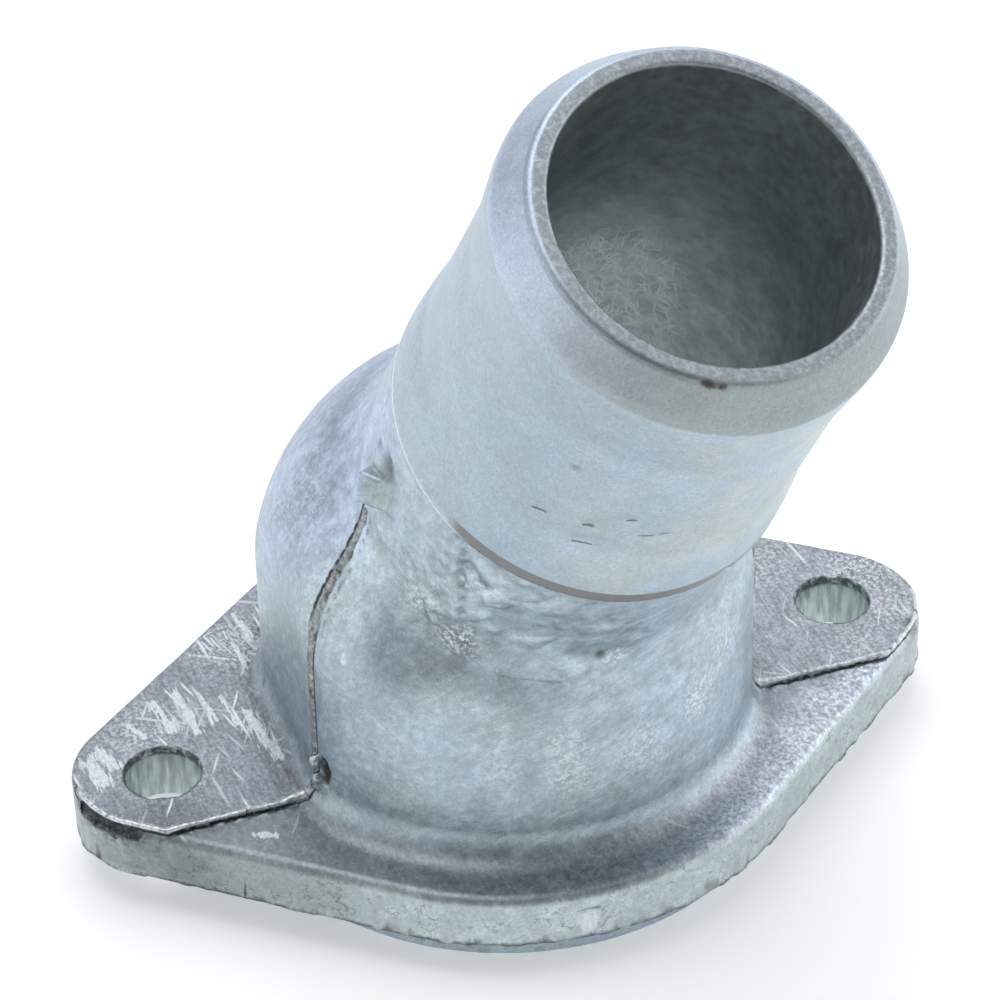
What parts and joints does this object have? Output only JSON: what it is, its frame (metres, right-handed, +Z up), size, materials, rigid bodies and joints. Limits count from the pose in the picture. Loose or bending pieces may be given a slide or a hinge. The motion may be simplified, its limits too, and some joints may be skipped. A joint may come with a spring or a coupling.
{
  "type": "coolant outlet housing",
  "caption": "Die-cast coolant outlet housing: bolted flange with a round pilot, a domed body and a leaning neck with a bead that takes a radiator hose.",
  "frame": {"origin": "midway between the bolt holes, on the gasket face of the flange", "axes": "+X along the bolt line, +Z up from the gasket face, the neck leaning towards -Y"},
  "size_m": [0.0994, 0.0865, 0.1033],
  "materials": {
    "cast_aluminium": "as cast, dull, with bright scuffs"
  },
  "bodies": {
    "root": {"outlet_housing": "cast_aluminium"}
  },
  "joints": []
}
